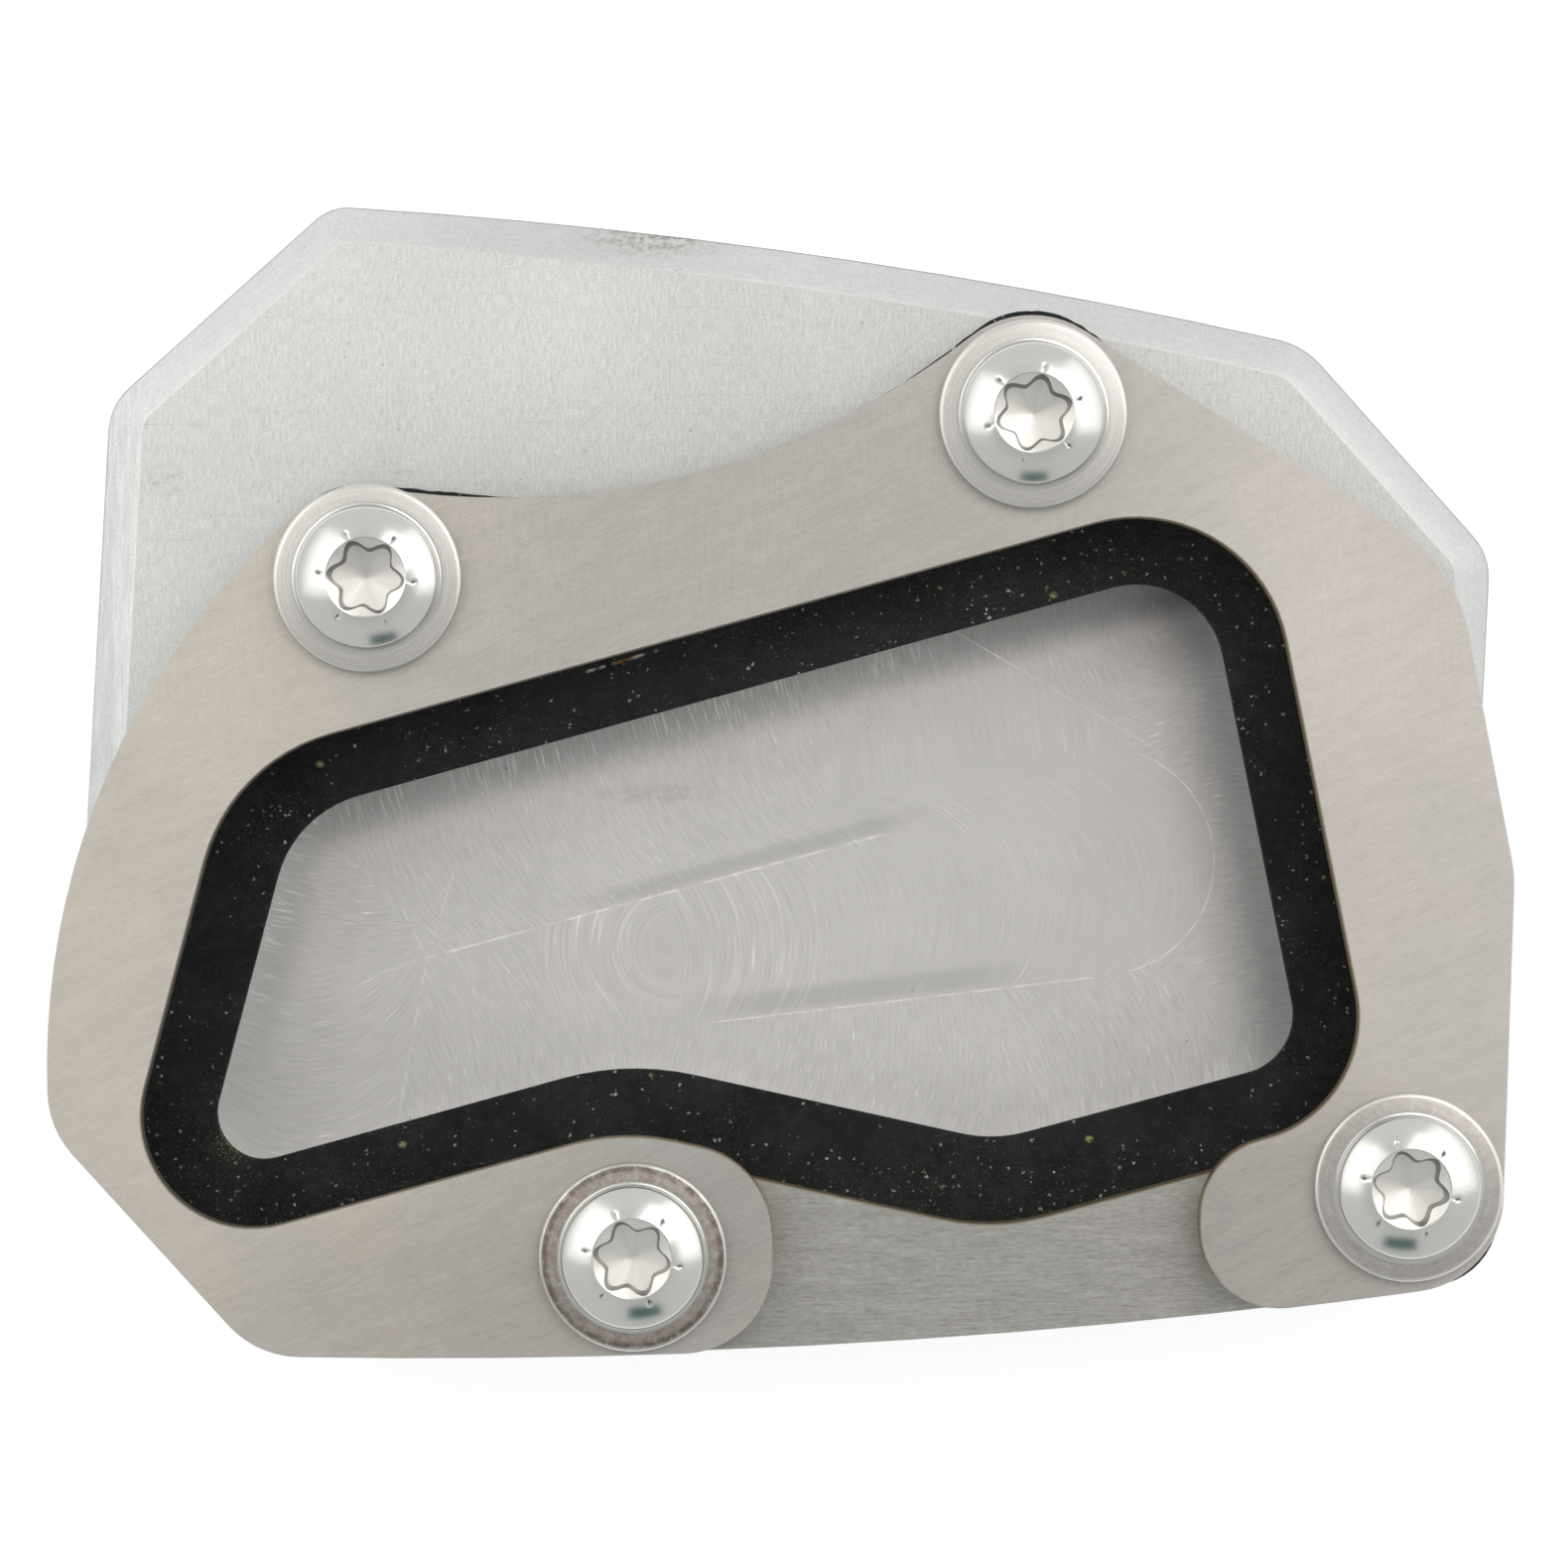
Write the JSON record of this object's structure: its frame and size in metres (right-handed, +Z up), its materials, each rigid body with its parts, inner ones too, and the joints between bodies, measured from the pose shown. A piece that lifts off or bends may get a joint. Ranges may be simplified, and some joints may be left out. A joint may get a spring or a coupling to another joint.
{
  "type": "kickstand foot enlarger",
  "caption": "Wide aluminium ground plate with a rubber pad, spacer ring and C-shaped steel clamp, screwed around a side stand's foot to keep it from sinking.",
  "frame": {"origin": "under the middle of the whole part, on the ground that the base plate rests on", "axes": "+X along the plate, +Y across it towards the wide wing of the base, +Z up, away from the ground"},
  "size_m": [0.1061, 0.0839, 0.0223],
  "materials": {
    "milled_aluminium": "milled, with a fine brush and tool marks",
    "black_rubber": "matt, with light dust",
    "ring_steel": "brushed",
    "brushed_clamp_steel": "brushed, slightly warm",
    "plated_screw_steel": "bright plated"
  },
  "bodies": {
    "root": {"base_plate": "milled_aluminium", "rubber_pad": "black_rubber", "spacer_ring": "ring_steel", "clamp_plate": "brushed_clamp_steel", "flange_screws": "plated_screw_steel"}
  },
  "joints": []
}
